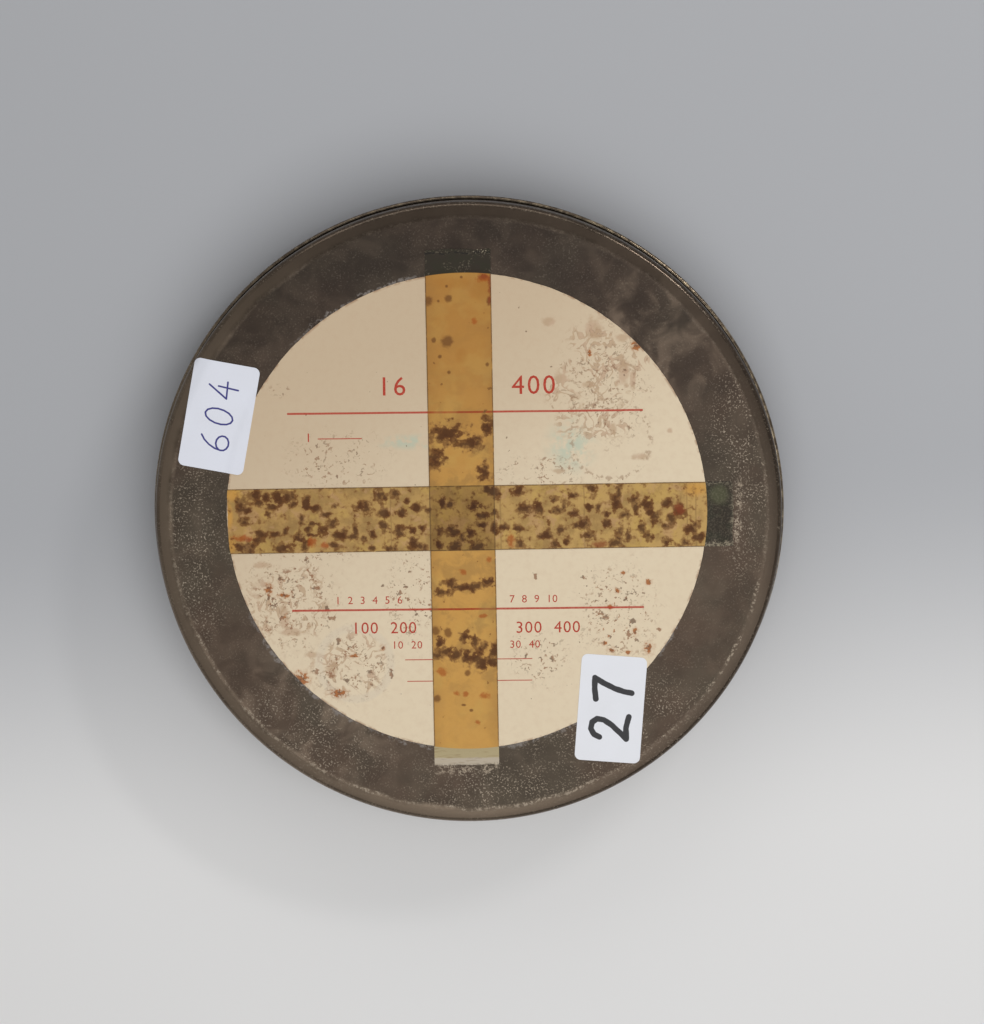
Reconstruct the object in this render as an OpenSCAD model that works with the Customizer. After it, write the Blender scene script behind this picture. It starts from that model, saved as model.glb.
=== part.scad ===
// Film can for a seven inch reel of 16 mm film.
// A drawn steel base, a slip-over lid with a curled hem, the paper label, tapes and stickers on the lid,
// and the wound reel inside. The can lies flat on its bottom, with its axis along Z.

/* [Can] */
// Thickness of the can's steel sheet
sheet_t = 0.5; // [0.3:0.05:0.7]
// Width of the sloped shoulder round the lid's panel and round the bottom
shoulder_w = 4.2; // [3:0.1:6]
// Slope of that shoulder, in degrees
shoulder_angle = 17; // [8:1:26]
// Outer radius of the bend between shoulder and side
corner_r = 2; // [1.4:0.1:2.4]
// Depth of the lid, from its panel to the underside of its hem
lid_depth = 12; // [8:0.5:18]
// Diameter of the curl along the lid's edge
hem_d = 1.7; // [1.5:0.1:3]
// Depth of the fold inside the rim of the base
rim_fold = 3; // [1.5:0.5:6]

/* [Label] */
// Bare metal between the label and the edge of the lid's panel
label_margin = 17.25; // [14:0.25:30]
// Sideways shift of the label from the lid's centre
label_x = -0.5; // [-3:0.1:3]
// Upward shift of the label from the lid's centre
label_y = 1; // [-3:0.1:3]
// Thickness of the label's paper
label_t = 0.2; // [0.1:0.05:0.4]

/* [Tapes] */
// Width of both tapes
tape_w = 19.1; // [12:0.1:25]
// Thickness of both tapes
tape_t = 0.12; // [0.08:0.02:0.3]
// Sideways shift of the tape that runs down the label
tape_down_x = -1.8; // [-20:0.1:20]
// Length of that tape past the label's top edge
tape_over_top = 7.2; // [1:0.1:10]
// Length of that tape past the label's bottom edge
tape_over_bottom = 5.2; // [1:0.1:10]
// Upward shift of the tape that runs across the label
tape_across_y = -0.5; // [-20:0.1:20]
// Length of that tape past the label's right edge
tape_over_right = 8; // [1:0.1:10]
// Bare label left of that tape
tape_short_left = 0.7; // [0:0.1:10]

/* [Stickers] */
// Width of both stickers
sticker_w = 19.2; // [10:0.1:24]
// Length of both stickers
sticker_l = 31.7; // [20:0.1:40]
// Corner radius of both stickers
sticker_corner_r = 1.8; // [0.5:0.1:4]
// Thickness of both stickers
sticker_t = 0.15; // [0.1:0.05:0.3]
// Direction from the lid's centre to the left sticker, in degrees
left_sticker_angle = 157.1; // [140:0.1:165]
// Distance of the left sticker's centre from the edge of the panel
left_sticker_in = 9.2; // [8:0.1:30]
// Turn of the left sticker, clockwise, in degrees
left_sticker_turn_angle = 11.1; // [0:0.1:30]
// Direction from the lid's centre to the right sticker, in degrees
right_sticker_angle = -54.8; // [-65:0.1:-40]
// Distance of the right sticker's centre from the edge of the panel
right_sticker_in = 16.6; // [8:0.1:30]
// Turn of the right sticker, clockwise, in degrees
right_sticker_turn_angle = 4.9; // [0:0.1:30]

/* [Reel] */
// Diameter of the reel's flanges
reel_d = 177.8; // [150:0.1:260]
// Thickness of the flanges' sheet
flange_t = 0.6; // [0.4:0.05:0.9]
// Diameter of the bead round each flange
flange_rim_d = 1.2; // [1.1:0.1:2.4]
// Number of windows in each flange
window_count = 5; // [3:1:6]
// Width of a window, measured outward
window_w = 15; // [8:0.5:24]
// Turn between the centres of the round corners at a window's two sides, in degrees
window_angle = 34; // [10:1:40]
// Outside diameter of the hub
hub_d = 63.5; // [50:0.5:76]
// Thickness of the hub's sheet
hub_t = 0.5; // [0.4:0.05:0.6]
// Number of tabs that clinch each end of the hub to its flange
tab_count = 6; // [3:1:8]
// Width of a tab along the hub
tab_w = 8; // [4:0.5:12]
// Length of the folded foot of a tab
tab_foot = 4; // [2:0.5:6]
// Diameter of the plates behind the spindle holes
plate_d = 30; // [24:0.5:40]
// Thickness of those plates
plate_t = 0.8; // [0.5:0.1:1.2]
// Width of the square spindle hole and diameter of the round one
spindle_hole = 8.1; // [7.5:0.1:9]
// Diameter of the hole in each flange round the spindle hole
flange_hole_d = 12.5; // [12:0.5:15]
// Number of rivets that hold each plate
rivet_count = 4; // [3:1:6]
// Diameter of a rivet's shank
rivet_d = 2.5; // [1.5:0.1:3]
// Diameter of a rivet's heads
rivet_head_d = 4.2; // [3.5:0.1:5]
// Height of a rivet's heads
rivet_head_h = 0.45; // [0.3:0.05:0.5]

/* [Film] */
// Width of the film
film_w = 16; // [8:0.5:35]
// Free space between the film and each flange
film_side_gap = 0.4; // [0.2:0.1:1]
// Bare flange outside the wound film
film_margin = 6.3; // [2:0.1:40]
// Depth of the turns of plain leader outside the film
leader_t = 0.6; // [0.3:0.1:1.5]
// Length of the tape that holds the leader's end
leader_tape_l = 28; // [15:1:60]
// Width of that tape
leader_tape_w = 12; // [6:0.5:15]
// Thickness of that tape
leader_tape_t = 0.15; // [0.1:0.05:0.3]

/* [Fits] */
// Gap all round between the lid and the base
lid_gap = 0.3; // [0.15:0.05:0.4]
// Gap between the reel's edge and the folded rim of the base
reel_side_gap = 0.6; // [0.3:0.1:3]
// Gap between the reel and the base under it
seat_gap = 0.3; // [0.1:0.05:0.5]
// Free space above the reel in the closed can
headroom = 4.3; // [1:0.1:20]
// Gap between the hub, the film, the leader and its tape
wind_gap = 0.05; // [0.02:0.01:0.1]
// Gap round rivets and tabs in their holes
hole_gap = 0.05; // [0.02:0.01:0.2]

/* [Hidden] */
$fn = 180;
arc_steps = 10;
// Tools that cut right through a sheet stand out this far on both sides
overcut = 1;
// Share of a window's width that each of its corners rounds
window_corner = 0.4;
// Share of a rivet head's diameter that is flat on top
rivet_flat = 0.6;

// Space between the flanges
flange_gap = film_w + 2 * film_side_gap;

// Radii, from the reel outward
reel_r = reel_d / 2;
flange_rim_r = flange_rim_d / 2;
hub_r = hub_d / 2;
hub_in_r = hub_r - hub_t;
film_r = reel_r - film_margin;
leader_r = film_r + wind_gap + leader_t;
window_r = (hub_r + reel_r) / 2;
window_corner_r = window_corner * window_w;
rivet_r = (flange_hole_d + plate_d) / 4;
base_in_r = reel_r + reel_side_gap + sheet_t;
base_r = base_in_r + sheet_t;
skirt_r = base_r + lid_gap + sheet_t;
panel_r = skirt_r - shoulder_w;
label_r = panel_r - label_margin;

// Drop from a panel's plane to the centre of the bend at its side
corner_drop = (shoulder_w - corner_r * (1 - sin(shoulder_angle))) * tan(shoulder_angle)
    + corner_r * cos(shoulder_angle);

// Heights: the lower flange's bead stands on the base's shoulder or floor, whichever it meets first
bead_on_floor = sheet_t + seat_gap + flange_rim_r;
bead_past_floor = reel_r - flange_rim_r - (base_r - shoulder_w);
bead_on_shoulder = (bead_on_floor + bead_past_floor * sin(shoulder_angle)) / cos(shoulder_angle);
lower_face_z = max(bead_on_floor, bead_on_shoulder) + flange_rim_r;
upper_face_z = lower_face_z + flange_gap;
film_z = lower_face_z + flange_gap / 2;
can_h = upper_face_z + flange_rim_d + headroom + sheet_t;
base_rim_z = can_h - corner_drop + sheet_t;

// Layers on the lid are cut out of a skin that starts at the lid's bend
skin_cut_z = can_h - corner_drop;
skin_cut_h = corner_drop + label_t + sticker_t + overcut;
// Tabs reach through the flange and one sheet beyond it
tab_reach = flange_t + hub_t;
tab_angle = tab_w / hub_r * 180 / PI;

function arc(centre, r, from, to) = [for (k = [0:arc_steps])
    let (a = from + (to - from) * k / arc_steps) centre + r * [cos(a), sin(a)]];
function reversed(path) = [for (k = [len(path) - 1:-1:0]) path[k]];
function flipped(path) = [for (p = path) [p[0], -p[1]]];

// Section of a drawn pan's surface, from its axis over panel, shoulder and bend to its side.
// The panel's plane is at zero, and out moves the surface outward.
function pan_path(side_r, out) = concat(
    [[0, out], [side_r - shoulder_w + out * tan(shoulder_angle / 2), out]],
    arc([side_r - corner_r, -corner_drop], corner_r + out, 90 - shoulder_angle, 0));

// Section of a rolled hem: the sheet comes down the skirt and curls outward and up
function hem_path(centre) = concat(
    arc(centre, hem_d / 2 - sheet_t, 180, 450),
    arc(centre, hem_d / 2, 450, 180));

// All that lies under the surface of the lid and its label, with that surface moved outward
module under_surface(out) {
    translate([0, 0, can_h])
        rotate_extrude()
            polygon(concat(pan_path(skirt_r, out), [[0, -corner_drop]]));
    translate([label_x, label_y, can_h - sheet_t])
        cylinder(r = label_r + out, h = sheet_t + label_t + out);
}

// Layer of one thickness that lies on the lid and its label
module skin(t) {
    difference() {
        under_surface(t);
        under_surface(0);
    }
}

// Part of such a layer inside a rectangle
module skin_strip(t, x_from, x_to, y_from, y_to) {
    intersection() {
        skin(t);
        translate([x_from, y_from, skin_cut_z])
            cube([x_to - x_from, y_to - y_from, skin_cut_h]);
    }
}

module rounded_rectangle(w, l, r) {
    square([w - 2 * r, l], center = true);
    square([w, l - 2 * r], center = true);
    for (x = [-1, 1], y = [-1, 1])
        translate([x * (w / 2 - r), y * (l / 2 - r)])
            circle(r);
}

module sticker(dir, in, turn) {
    intersection() {
        skin(sticker_t);
        rotate([0, 0, dir])
            translate([panel_r - in, 0, skin_cut_z])
                rotate([0, 0, -dir - turn])
                    linear_extrude(skin_cut_h)
                        rounded_rectangle(sticker_w, sticker_l, sticker_corner_r);
    }
}

// Places a shape drawn on the lower flange's inner face, with outside downward, on either flange
module on_lower_flange() {
    translate([0, 0, lower_face_z])
        children();
}

module on_upper_flange() {
    translate([0, 0, upper_face_z])
        mirror([0, 0, 1])
            children();
}

// Ring from one radius and height to another
module ring(r_in, r_out, z_from, z_to) {
    rotate_extrude()
        translate([r_in, z_from])
            square([r_out - r_in, z_to - z_from]);
}

// Sector of such a ring, centred on a direction
module sector(dir, turn, r_in, r_out, z_from, z_to) {
    rotate([0, 0, dir - turn / 2])
        rotate_extrude(angle = turn)
            translate([r_in, z_from])
                square([r_out - r_in, z_to - z_from]);
}

module rivet_places() {
    for (k = [0:rivet_count - 1])
        rotate([0, 0, (k + 0.5) * 360 / rivet_count])
            translate([rivet_r, 0, 0])
                children();
}

module rivet_holes(z_from, z_to) {
    rivet_places()
        translate([0, 0, z_from])
            cylinder(d = rivet_d + 2 * hole_gap, h = z_to - z_from);
}

// Windows with straight sides that point at the axis, and with round corners
module flange_windows() {
    half = window_angle / 2;
    near = (window_r - window_w / 2 + window_corner_r) * [1, tan(half)];
    far = (window_r + window_w / 2 - window_corner_r) * [1, tan(half)];
    out = window_corner_r * [1, 0];
    aside = window_corner_r * [-sin(half), cos(half)];
    edge = [near - out, near + aside, far + aside, far + out];
    for (k = [0:window_count - 1])
        rotate([0, 0, 90 + k * 360 / window_count])
            translate([0, 0, -flange_t - overcut])
                linear_extrude(flange_t + 2 * overcut) {
                    polygon(concat(edge, reversed(flipped(edge))));
                    for (corner = concat([near, far], flipped([near, far])))
                        translate(corner)
                            circle(window_corner_r);
                }
}

// Straight slots that the hub's curved tabs pass through
module tab_slots() {
    slot_l = 2 * (hub_r * sin(tab_angle / 2) + hole_gap);
    slot_in = hub_in_r * cos(tab_angle / 2) - hole_gap;
    for (k = [0:tab_count - 1])
        rotate([0, 0, k * 360 / tab_count])
            translate([slot_in, -slot_l / 2, -flange_t - overcut])
                cube([hub_r + hole_gap - slot_in, slot_l, flange_t + 2 * overcut]);
}

// Pressed flange with a bead along its edge on the outside
module flange() {
    bead_end = -180 - asin((flange_rim_r - flange_t) / flange_rim_r);
    difference() {
        rotate_extrude()
            polygon(concat(
                [[flange_hole_d / 2, -flange_t], [flange_hole_d / 2, 0]],
                arc([reel_r - flange_rim_r, -flange_rim_r], flange_rim_r, 90, bead_end)));
        flange_windows();
        rivet_holes(-flange_t - overcut, overcut);
        tab_slots();
    }
}

// Flat-sided gaps between the tabs at an end of the hub
module hub_notches() {
    half = 180 / tab_count - tab_angle / 2;
    near = hub_in_r - tab_foot - overcut;
    far = 2 * hub_r;
    for (k = [0:tab_count - 1])
        rotate([0, 0, (k + 0.5) * 360 / tab_count])
            translate([0, 0, -tab_reach - overcut])
                linear_extrude(tab_reach + overcut)
                    polygon([
                        near * [cos(half), -sin(half)],
                        far * [cos(half), -sin(half)],
                        [far, 0],
                        far * [cos(half), sin(half)],
                        near * [cos(half), sin(half)]]);
}

module spindle_plate() {
    difference() {
        cylinder(d = plate_d, h = plate_t);
        rivet_holes(-overcut, plate_t + overcut);
        translate([0, 0, -overcut])
            linear_extrude(plate_t + 2 * overcut)
                children();
    }
}

// Rivets through a flange and the plate on its inner face
module rivets() {
    head_r = rivet_head_d / 2;
    rivet_places()
        rotate_extrude()
            polygon([
                [0, -flange_t - rivet_head_h],
                [head_r * rivet_flat, -flange_t - rivet_head_h],
                [head_r, -flange_t],
                [rivet_d / 2, -flange_t],
                [rivet_d / 2, plate_t],
                [head_r, plate_t],
                [head_r * rivet_flat, plate_t + rivet_head_h],
                [0, plate_t + rivet_head_h]]);
}

module can_base() {
    color("#4b423a")
        rotate_extrude()
            polygon(concat(
                flipped(pan_path(base_r, 0)),
                arc([base_in_r, base_rim_z - sheet_t], sheet_t, 0, 180),
                [[base_in_r - sheet_t, base_rim_z - rim_fold], [base_in_r, base_rim_z - rim_fold]],
                reversed(flipped(pan_path(base_r, -sheet_t)))));
}

module lid() {
    hem_centre = [skirt_r - sheet_t + hem_d / 2, hem_d / 2 - lid_depth];
    color("#50473f")
        translate([0, 0, can_h])
            rotate_extrude()
                polygon(concat(
                    pan_path(skirt_r, 0),
                    hem_path(hem_centre),
                    reversed(pan_path(skirt_r, -sheet_t))));
}

module paper_label() {
    color("#dbc5a4")
        translate([label_x, label_y, can_h])
            cylinder(r = label_r, h = label_t);
}

module tape_across() {
    color("#b4965a")
        skin_strip(tape_t, label_x - label_r + tape_short_left, label_x + label_r + tape_over_right,
            tape_across_y - tape_w / 2, tape_across_y + tape_w / 2);
}

// Lies on the other tape where they cross
module tape_down() {
    left = tape_down_x - tape_w / 2;
    low = tape_across_y - tape_w / 2;
    color("#be8c3c")
        difference() {
            union() {
                skin_strip(tape_t, left, left + tape_w,
                    label_y - label_r - tape_over_bottom, label_y + label_r + tape_over_top);
                translate([left, low - tape_t, can_h + label_t])
                    cube([tape_w, tape_w + 2 * tape_t, 2 * tape_t]);
            }
            translate([left - overcut, low, can_h + label_t - overcut])
                cube([tape_w + 2 * overcut, tape_w, tape_t + overcut]);
        }
}

module sticker_left() {
    color("#d8dae1")
        sticker(left_sticker_angle, left_sticker_in, left_sticker_turn_angle);
}

module sticker_right() {
    color("#d8dae1")
        sticker(right_sticker_angle, right_sticker_in, right_sticker_turn_angle);
}

module reel_flange_lower() {
    color("#8d8f92")
        on_lower_flange()
            flange();
}

module reel_flange_upper() {
    color("#8d8f92")
        on_upper_flange()
            flange();
}

// Its tabs pass through the flanges and fold inward on their outside
module reel_hub() {
    foot_in_r = hub_in_r - tab_foot;
    low = lower_face_z - tab_reach;
    high = upper_face_z + tab_reach;
    color("#7f8184")
        difference() {
            rotate_extrude()
                polygon([
                    [foot_in_r, low],
                    [hub_r, low],
                    [hub_r, high],
                    [foot_in_r, high],
                    [foot_in_r, high - hub_t],
                    [hub_in_r, high - hub_t],
                    [hub_in_r, low + hub_t],
                    [foot_in_r, low + hub_t]]);
            on_lower_flange()
                hub_notches();
            on_upper_flange()
                hub_notches();
        }
}

module spindle_plate_lower() {
    color("#9a9c9f")
        on_lower_flange()
            spindle_plate()
                square(spindle_hole, center = true);
}

module spindle_plate_upper() {
    color("#9a9c9f")
        on_upper_flange()
            spindle_plate()
                circle(d = spindle_hole);
}

module hub_rivets() {
    color("#a8aaad") {
        on_lower_flange()
            rivets();
        on_upper_flange()
            rivets();
    }
}

module film_roll() {
    color("#2e2926")
        ring(hub_r + wind_gap, film_r, film_z - film_w / 2, film_z + film_w / 2);
}

module film_leader() {
    color("#dedbd0")
        ring(film_r + wind_gap, leader_r, film_z - film_w / 2, film_z + film_w / 2);
}

module leader_tape() {
    tape_in_r = leader_r + wind_gap;
    color("#e8e4d6")
        sector(0, leader_tape_l / leader_r * 180 / PI, tape_in_r, tape_in_r + leader_tape_t,
            film_z - leader_tape_w / 2, film_z + leader_tape_w / 2);
}

can_base();
lid();
paper_label();
tape_across();
tape_down();
sticker_left();
sticker_right();
reel_flange_lower();
reel_flange_upper();
reel_hub();
spindle_plate_lower();
spindle_plate_upper();
hub_rivets();
film_roll();
film_leader();
leader_tape();
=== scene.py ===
from math import cos, hypot, pi, radians, sin, sqrt, tan
import bpy
from mathutils import Matrix, Vector, noise


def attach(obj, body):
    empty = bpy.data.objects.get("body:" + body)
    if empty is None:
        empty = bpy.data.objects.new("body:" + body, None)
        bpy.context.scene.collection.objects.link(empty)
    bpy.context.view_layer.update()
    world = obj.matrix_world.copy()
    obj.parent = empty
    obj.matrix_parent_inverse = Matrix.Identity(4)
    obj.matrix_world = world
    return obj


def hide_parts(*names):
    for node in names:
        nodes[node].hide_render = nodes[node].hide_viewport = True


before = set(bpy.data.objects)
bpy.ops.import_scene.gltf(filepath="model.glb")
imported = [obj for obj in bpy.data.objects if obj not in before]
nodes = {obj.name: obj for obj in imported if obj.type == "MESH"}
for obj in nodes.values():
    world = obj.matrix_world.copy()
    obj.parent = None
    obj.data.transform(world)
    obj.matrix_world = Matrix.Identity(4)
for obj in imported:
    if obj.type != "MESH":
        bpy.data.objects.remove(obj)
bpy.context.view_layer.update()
mm = 0.001


class Value:  # one socket of a material, so that sums on it read as plain sums
    def __init__(self, tree, socket=None):
        self.tree = tree
        self.socket = socket

    def add(self, kind, settings=None, sockets=None, out=0):  # any node: its settings, then its sockets
        made = self.tree.nodes.new("ShaderNode" + kind)
        for name, setting in (settings or {}).items():
            setattr(made, name, setting)
        for name, given in (sockets or {}).items():
            if isinstance(given, Value):
                self.tree.links.new(given.socket, made.inputs[name])
            else:
                made.inputs[name].default_value = given
        return Value(self.tree, made.outputs[out])

    def sum(self, operation, first, second=0.0):
        return self.add("Math", {"operation": operation}, {0: first, 1: second})

    def __add__(self, other):
        return self.sum("ADD", self, other)

    __radd__ = __add__

    def __sub__(self, other):
        return self.sum("SUBTRACT", self, other)

    def __rsub__(self, other):
        return self.sum("SUBTRACT", other, self)

    def __mul__(self, other):
        return self.sum("MULTIPLY", self, other)

    __rmul__ = __mul__

    def __truediv__(self, other):
        return self.sum("DIVIDE", self, other)

    def __abs__(self):
        return self.sum("ABSOLUTE", self)

    def root(self):
        return self.sum("SQRT", self)

    def least(self, other):
        return self.sum("MINIMUM", self, other)

    def most(self, other):
        return self.sum("MAXIMUM", self, other)

    def fade(self, low, high):  # 0 at low, 1 at high, and eased between
        return self.add("MapRange", {"interpolation_type": "SMOOTHSTEP"},
                        {"Value": self, "From Min": low, "From Max": high})

    def noise(self, scale, detail=2.0, rough=0.5, twist=0.0):  # scale is in lumps per millimetre
        return self.add("TexNoise", {}, {"Vector": self, "Scale": scale, "Detail": detail,
                                                   "Roughness": rough, "Distortion": twist})

    def stretched(self, *factors):
        return self.add("VectorMath", {"operation": "MULTIPLY"}, {0: self, 1: factors})

    def mix(self, colour, other):  # self is the share of the second colour
        return self.add("Mix", {"data_type": "RGBA"}, {0: self, 6: colour, 7: other}, 2)

    def tinted(self, other):  # a colour seen through another one
        return self.add("Mix", {"data_type": "RGBA", "blend_type": "MULTIPLY"},
                        {0: 1.0, 6: self, 7: other}, 2)

    def xyz(self):
        split = self.add("SeparateXYZ", {}, {0: self})
        return [Value(self.tree, socket) for socket in split.socket.node.outputs]


class Paint:  # a colour built up coat by coat
    def __init__(self, colour, look):
        self.colour = colour
        self.look = look

    def coat(self, share, tone):  # tone: a colour, or its name in the look
        self.colour = share.mix(self.colour, self.look.get(tone, tone))


def ink(red, green, blue):  # a colour as a picture editor gives it
    def linear(share):
        return share / 12.92 if share <= 0.04045 else ((share + 0.055) / 1.055) ** 2.4
    return tuple(linear(part / 255) for part in (red, green, blue)) + (1.0,)


def newMaterial(name, shine=0.5, rough=0.5):  # values that are the same all over
    material = bpy.data.materials.new(name)
    material.use_nodes = True
    tree = material.node_tree
    tree.nodes.clear()
    output = tree.nodes.new("ShaderNodeOutputMaterial")
    shader = tree.nodes.new("ShaderNodeBsdfPrincipled")
    tree.links.new(shader.outputs[0], output.inputs["Surface"])
    shader.inputs["Specular IOR Level"].default_value = shine
    shader.inputs["Roughness"].default_value = rough
    place = Value(tree).add("TexCoord", out="Object")
    point = place.add("VectorMath", {"operation": "SCALE"}, {0: place, "Scale": 1000.0})
    return material, point


def feed(material, **values):
    shader = material.node_tree.nodes["Principled BSDF"]
    for name, value in values.items():
        value.tree.links.new(value.socket, shader.inputs[name.replace("_", " ")])
    return material


def relief(height, depth, strength=1.0):  # height runs from 0 to 1, depth is in millimetres
    return height.add("Bump", {}, {"Strength": strength, "Distance": depth * mm, "Height": height})


def away(point, place):  # 0 in the middle of an oval, 1 on its edge: x, y, half width, half height if it differs
    x, y, across, up = (place + place[-1:])[:4]
    moved = point.add("VectorMath", {"operation": "MULTIPLY_ADD"},
                      {0: point, 1: (1 / across, 1 / up, 0), 2: (-x / across, -y / up, 0)})
    return moved.add("VectorMath", {"operation": "LENGTH"}, {0: moved}, "Value")


def nearest(point, places):  # the same for whichever oval is nearest
    least = away(point, places[0])
    for place in places[1:]:
        least = least.least(away(point, place))
    return least


def field(point, places, low=0.45, high=1.15):  # soft patches
    return 1 - nearest(point, places).fade(low, high)


def blobs(point, places, rough, low, high):  # patches with a ragged edge
    return 1 - (nearest(point, places) + rough).fade(low, high)


def fromAxis(point):  # distance from the can's axis
    return away(point, (0, 0, 1))


def threads(point, scale, thin, thick):  # short wriggling lines
    line = 1 - abs(point.noise(scale, 1) - 0.5).fade(thin, thick)
    return line * point.noise(scale * 1.5, 1).fade(0.52, 0.6)


def named(name):  # the object that was added last
    piece = bpy.context.object
    piece.name = name
    return piece


def pick(*pieces):  # selects these alone, with the first one active
    bpy.ops.object.select_all(action="DESELECT")
    for piece in reversed(pieces):
        piece.select_set(True)
        bpy.context.view_layer.objects.active = piece


def dress(piece, material):
    piece.data.materials.clear()
    piece.data.materials.append(material)


def finish(piece, body, material, slotName, *replaced):
    dress(piece, material)
    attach(piece, body)
    if replaced:
        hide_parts(*replaced)


# Camera

cameraView = {
    "lidCentre": (0.0, 0.0, 25.475),
    "distance": 1000.0,
    "towardRight": 0.9,  # degrees off the can's axis
    "towardTop": 8.1,
    "roll": 1.05,
    "lens": 120.93,
    "focalPixels": 3439.85,
    "pixelsLeft": 23.46,  # the lid's centre in the picture, from the picture's centre
    "pixelsDown": 4.2,
    "sensor": 36.0,
    "clipStart": 0.01,
}


def makeCamera(view):
    toCamera = Vector((tan(radians(view["towardRight"])),
                       tan(radians(view["towardTop"])), 1)).normalized()
    right = Vector((0, 1, 0)).cross(toCamera).normalized()
    up = toCamera.cross(right)
    turn = radians(view["roll"])
    right, up = right * cos(turn) - up * sin(turn), right * sin(turn) + up * cos(turn)
    aside = right * view["pixelsLeft"] + up * view["pixelsDown"]
    ahead = -toCamera + aside / view["focalPixels"]
    back = -ahead.normalized()
    right = up.cross(back).normalized()
    up = back.cross(right)
    place = (Vector(view["lidCentre"]) + toCamera * view["distance"]) * mm
    bpy.ops.object.camera_add(location=place)
    camera = named("photoCamera")
    camera.rotation_euler = Matrix((right, up, back)).transposed().to_euler()
    camera.data.lens = view["lens"]
    camera.data.sensor_width = view["sensor"]
    camera.data.clip_start = view["clipStart"]
    bpy.context.scene.camera = camera


makeCamera(cameraView)
print("camera placed")

# Shapes that several pieces follow, in millimetres

lidForm = {
    "top": 25.475,
    "sheet": 0.5,
    "panelRadius": 87.1,
    "shoulderAngle": 17.0,
    "bendCentre": (89.3, 22.711),
    "bendRadius": 2.0,
    "hemCentre": (91.65, 14.325),
    "hemRadius": 0.81,
    "panelRings": (0, 30, 60, 80),
    "skirtRings": (20.5, 17.5, 15.5),
    "liningRings": (17, 20),
}
baseForm = {
    "sheet": 0.5,
    "floorRadius": 86.3,
    "shoulderAngle": 17.0,
    "bendCentre": (88.5, 2.764),
    "bendRadius": 2.0,
    "rimCentre": (90.0, 22.711),
    "fold": 20.211,
    "floorRings": (0, 40, 75),
    "wallRings": (9, 16),
    "liningRings": (14, 8),
}
labelForm = {"x": -0.5, "y": 1.0, "radius": 69.85, "thick": 0.2, "easeIn": 0.05, "easeDown": 0.03, "rim": 4.0}
acrossForm = {"start": -70.2, "end": 77.35, "middle": -0.5, "width": 19.1, "thick": 0.12}
downForm = {"start": -74.05, "end": 78.05, "middle": -1.8, "width": 19.1, "thick": 0.12}
drapeRun = 0.7  # a layer comes down a step over this distance
trim = 0.06  # label and tapes are drawn this far inside the CAD's outline


def arcPoints(centre, radius, fromAngle, toAngle, steps):
    angles = [radians(fromAngle + (toAngle - fromAngle) * k / steps) for k in range(steps + 1)]
    return [(centre[0] + radius * cos(a), centre[1] + radius * sin(a)) for a in angles]


def stepDown(distance):  # 1 on the layer below, 0 past its edge
    return min(1.0, max(0.0, 1 - distance / drapeRun))


def lidHeight(x, y):
    radius = hypot(x, y)
    slope = tan(radians(lidForm["shoulderAngle"]))
    bendR, bendZ = lidForm["bendCentre"]
    if radius <= lidForm["panelRadius"]:
        return lidForm["top"]
    bendStart = bendR + lidForm["bendRadius"] * sin(radians(lidForm["shoulderAngle"]))
    if radius <= bendStart:
        return lidForm["top"] - (radius - lidForm["panelRadius"]) * slope
    out = min(radius - bendR, lidForm["bendRadius"])
    return bendZ + sqrt(lidForm["bendRadius"] ** 2 - out ** 2)


def paperHeight(x, y):  # the lid with its label
    out = hypot(x - labelForm["x"], y - labelForm["y"]) - labelForm["radius"]
    return lidHeight(x, y) + labelForm["thick"] * stepDown(out)


def tapedHeight(x, y):  # the same with the first tape on it
    out = abs(y - acrossForm["middle"]) - acrossForm["width"] / 2
    past = max(acrossForm["start"] - x, x - acrossForm["end"])
    return paperHeight(x, y) + acrossForm["thick"] * stepDown(max(out, past))


def fromLabel(point):  # distance out past the label's edge
    return away(point, (labelForm["x"], labelForm["y"], 1)) - labelForm["radius"]


def newPlane(name, width, height):
    pick()
    bpy.ops.mesh.primitive_plane_add(size=1)
    piece = named(name)
    bpy.ops.object.mode_set(mode="EDIT")
    bpy.ops.mesh.select_mode(type="VERT")
    bpy.ops.mesh.select_all(action="SELECT")
    bpy.ops.transform.resize(value=(width * mm, height * mm, 1), center_override=(0, 0, 0))
    return piece


def closeMesh(merge):  # ends an edit: doubles merged, faces turned outward
    bpy.ops.mesh.select_all(action="SELECT")
    bpy.ops.mesh.remove_doubles(threshold=merge)
    bpy.ops.mesh.normals_make_consistent(inside=False)
    bpy.ops.object.mode_set(mode="OBJECT")


def lathe(name, points, steps, smoothAngle=35):  # a drawn section, spun about the can's axis
    piece = newPlane(name, 1, 1)
    bpy.ops.mesh.merge(type="CENTER")
    last = (0.0, 0.0)
    for k, (radius, height) in enumerate(points):
        move = ((radius - last[0]) * mm, 0, (height - last[1]) * mm)
        if k:
            bpy.ops.mesh.extrude_region_move(TRANSFORM_OT_translate={"value": move})
        else:
            bpy.ops.transform.translate(value=move)
        last = (radius, height)
    bpy.ops.mesh.select_all(action="SELECT")
    bpy.ops.mesh.spin(steps=steps, angle=2 * pi, center=(0, 0, 0), axis=(0, 0, 1))
    closeMesh(1e-6)
    bpy.ops.object.shade_smooth_by_angle(angle=radians(smoothAngle))
    return piece


def thicken(piece, thick):
    pick(piece)
    wall = piece.modifiers.new("thickness", "SOLIDIFY")
    wall.thickness = thick * mm
    wall.offset = 1
    bpy.ops.object.modifier_apply(modifier=wall.name)
    bpy.ops.object.shade_smooth_by_angle(angle=radians(35))


def drape(piece, height):  # lays a flat sheet on a surface
    for corner in piece.data.vertices:
        corner.co.z = height(corner.co.x / mm, corner.co.y / mm) * mm
    piece.data.update()


# Aged tin of the can

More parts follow.
